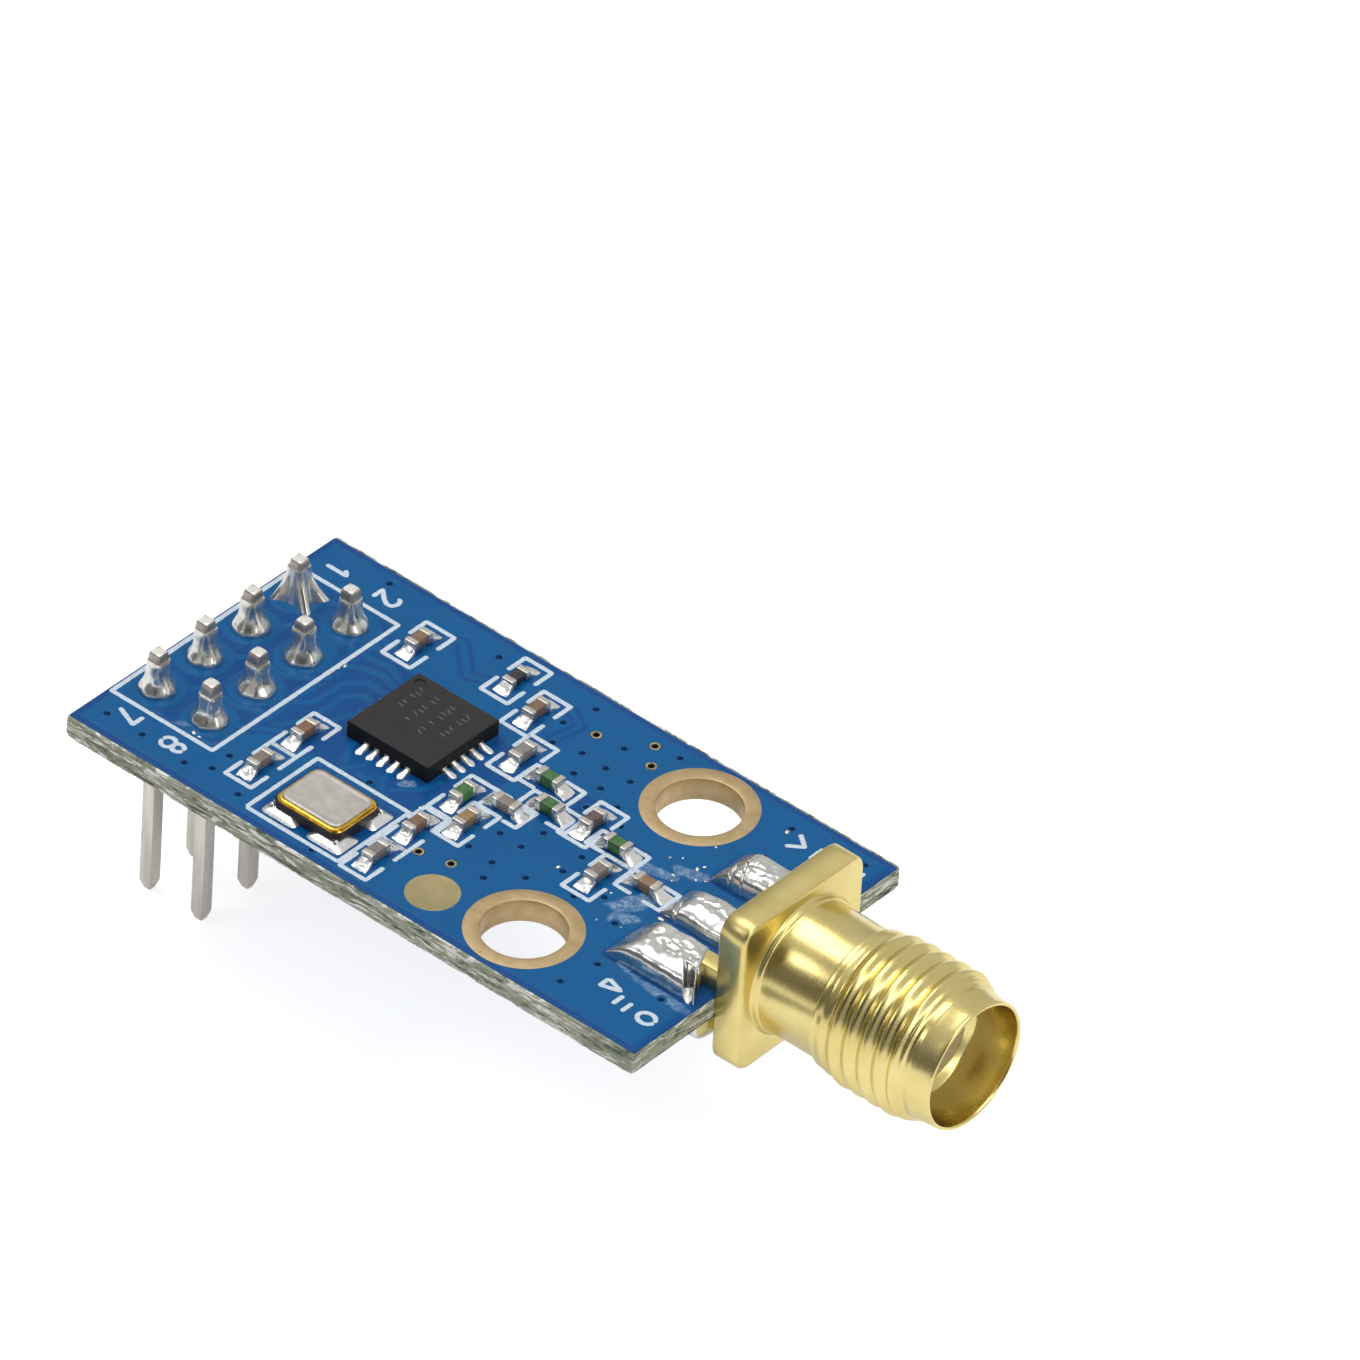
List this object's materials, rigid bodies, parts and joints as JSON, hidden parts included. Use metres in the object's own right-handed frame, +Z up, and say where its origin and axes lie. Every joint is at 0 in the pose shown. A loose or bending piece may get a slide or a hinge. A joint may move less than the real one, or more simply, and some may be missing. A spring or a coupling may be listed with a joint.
{
  "type": "rf transceiver module",
  "caption": "Small blue radio circuit board with a square-pin header at one end and a gold threaded coaxial antenna socket at the other.",
  "frame": {"origin": "midway between the two mounting holes, on the underside of the board", "axes": "+X along the board towards the antenna socket, +Y across the board along the line of the mounting holes, +Z up out of the component face"},
  "size_m": [0.0367, 0.0148, 0.013],
  "materials": {
    "solder_mask_blue": "glossy blue solder mask over glass-epoxy board",
    "land_gold": "matte immersion-gold plating on copper",
    "socket_gold": "bright gold plating on turned brass",
    "ptfe_white": "satin white fluoropolymer",
    "pin_tin": "tin plating on square brass wire",
    "header_black": "matte black moulded plastic",
    "solder": "bright hand-laid solder",
    "chip_moulding": "matte dark grey epoxy moulding",
    "terminal_tin": "tin-plated terminals",
    "crystal_ceramic": "dark fired ceramic",
    "crystal_gold": "gold-plated seal ring",
    "crystal_lid": "satin nickel-plated lid",
    "capacitor_brown": "brown sintered ceramic",
    "capacitor_grey": "grey-brown sintered ceramic",
    "inductor_green": "green glass-ceramic with a darker end band",
    "resistor_black": "black glaze on white ceramic"
  },
  "bodies": {
    "root": {"capacitor_1": "capacitor_brown", "capacitor_10": "capacitor_brown", "capacitor_11": "capacitor_grey", "capacitor_12": "capacitor_brown", "capacitor_2": "capacitor_brown", "capacitor_3": "capacitor_grey", "capacitor_4": "capacitor_brown", "capacitor_5": "capacitor_grey", "capacitor_6": "capacitor_grey", "capacitor_7": "capacitor_brown", "capacitor_8": "capacitor_brown", "capacitor_9": "capacitor_grey", "capacitor_end_caps": "terminal_tin", "chip_part_solder": "solder", "circuit_board": "solder_mask_blue", "crystal_base": "crystal_ceramic", "crystal_lid": "crystal_lid", "crystal_seal_ring": "crystal_gold", "crystal_solder": "solder", "header_housing": "header_black", "header_pin_1": "pin_tin", "header_pin_2": "pin_tin", "header_pin_3": "pin_tin", "header_pin_4": "pin_tin", "header_pin_5": "pin_tin", "header_pin_6": "pin_tin", "header_pin_7": "pin_tin", "header_pin_8": "pin_tin", "header_solder": "solder", "inductor_1": "inductor_green", "inductor_2": "inductor_green", "inductor_3": "inductor_green", "inductor_4": "inductor_green", "inductor_end_caps": "terminal_tin", "mounting_ring_back": "land_gold", "mounting_ring_front": "land_gold", "radio_chip": "chip_moulding", "radio_chip_solder": "solder", "radio_chip_terminals": "terminal_tin", "resistor": "resistor_black", "resistor_end_caps": "terminal_tin", "round_ground_pad": "land_gold", "socket_body": "socket_gold", "socket_centre_contact": "socket_gold", "socket_insulator": "ptfe_white", "socket_solder_back": "solder", "socket_solder_centre": "solder", "socket_solder_front": "solder", "socket_solder_under": "solder"}
  },
  "joints": []
}
